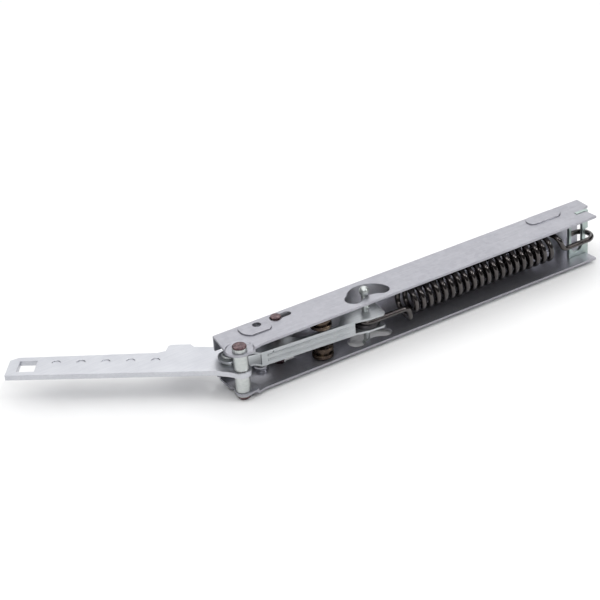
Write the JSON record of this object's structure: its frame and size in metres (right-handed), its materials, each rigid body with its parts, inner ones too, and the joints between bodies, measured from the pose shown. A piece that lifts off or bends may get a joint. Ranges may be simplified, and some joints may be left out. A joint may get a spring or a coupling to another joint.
{
  "type": "oven door hinge",
  "caption": "Spring-balanced appliance door hinge: folded channel with a swinging flat arm, a connecting link, a slotted slider pin, rollers and a tension spring.",
  "frame": {"origin": "on the main pivot's axis, at mid height between the channel's two flanges", "axes": "+Z along the pivot's axis, +X along the channel towards the spring's anchor, +Y towards the channel's web"},
  "size_m": [0.3608, 0.0952, 0.0376],
  "materials": {
    "galvanised_steel": "satin galvanised sheet with faint spangle",
    "bright_zinc": "bright zinc plating",
    "pale_zinc_plate": "pale passivated zinc",
    "dark_spring_steel": "oiled dark spring wire",
    "brown_rivet_steel": "tempered brown steel",
    "sintered_bronze": "oiled bronze"
  },
  "bodies": {
    "housing": {"channel_housing": "galvanised_steel", "spring_anchor_plate": "pale_zinc_plate", "pivot_rivet": "brown_rivet_steel", "pivot_head_washer": "bright_zinc", "pivot_tail_washer": "bright_zinc", "pivot_spacer_upper": "bright_zinc", "pivot_spacer_lower": "bright_zinc", "roller_axle": "dark_spring_steel", "roller_clip_upper": "bright_zinc", "roller_clip_lower": "bright_zinc", "roller_washer_upper": "bright_zinc", "roller_washer_lower": "bright_zinc", "spring_rear_hook": "dark_spring_steel"},
    "arm": {"hinge_arm": "bright_zinc", "arm_pivot_bush": "sintered_bronze", "crank_pin": "bright_zinc"},
    "link": {"link_channel": "bright_zinc", "crank_washer_upper": "bright_zinc", "crank_washer_lower": "bright_zinc", "slider_pin": "bright_zinc", "slider_pin_lower_head": "bright_zinc", "slider_collar_upper": "bright_zinc", "slider_collar_lower": "bright_zinc", "hook_spool": "dark_spring_steel"},
    "spring_slide": {"spring_front_hook": "dark_spring_steel", "spring_coil": "dark_spring_steel"},
    "upper_roller": {"cam_roller_upper": "sintered_bronze"},
    "lower_roller": {"cam_roller_lower": "sintered_bronze"},
    "lock": {"lock_pin": "brown_rivet_steel", "lock_pin_lower_head": "brown_rivet_steel"}
  },
  "joints": [
    {"name": "arm_pivot", "type": "hinge", "parent": "housing", "child": "arm", "pos_m": [0, 0, 0], "axis": [0, 0, 1], "range_deg": [-54.4, 35.6]},
    {"name": "crank_pivot", "type": "hinge", "parent": "arm", "child": "link", "pos_m": [-0.0007, 0.012, 0], "axis": [0, 0, 1], "range_deg": [-37, 56]},
    {"name": "spring_stretch", "type": "slide", "parent": "housing", "child": "spring_slide", "axis": [1, 0, 0], "range_m": [-0.007, 0.0106], "deforming": ["spring_coil"]},
    {"name": "upper_roller_spin", "type": "hinge", "parent": "housing", "child": "upper_roller", "pos_m": [0.055, 0.0045, 0.0095], "axis": [0, 0, 1], "continuous": true},
    {"name": "lower_roller_spin", "type": "hinge", "parent": "housing", "child": "lower_roller", "pos_m": [0.055, 0.0045, -0.0095], "axis": [0, 0, 1], "continuous": true},
    {"name": "lock_slide", "type": "slide", "parent": "housing", "child": "lock", "axis": [1, 0, 0], "range_m": [0, 0.0075]}
  ],
  "couplings": [
    {"joint": "crank_pivot", "follows": "arm_pivot", "ratio": -1.02},
    {"joint": "spring_stretch", "follows": "arm_pivot", "m_per_rad": -0.010888}
  ]
}
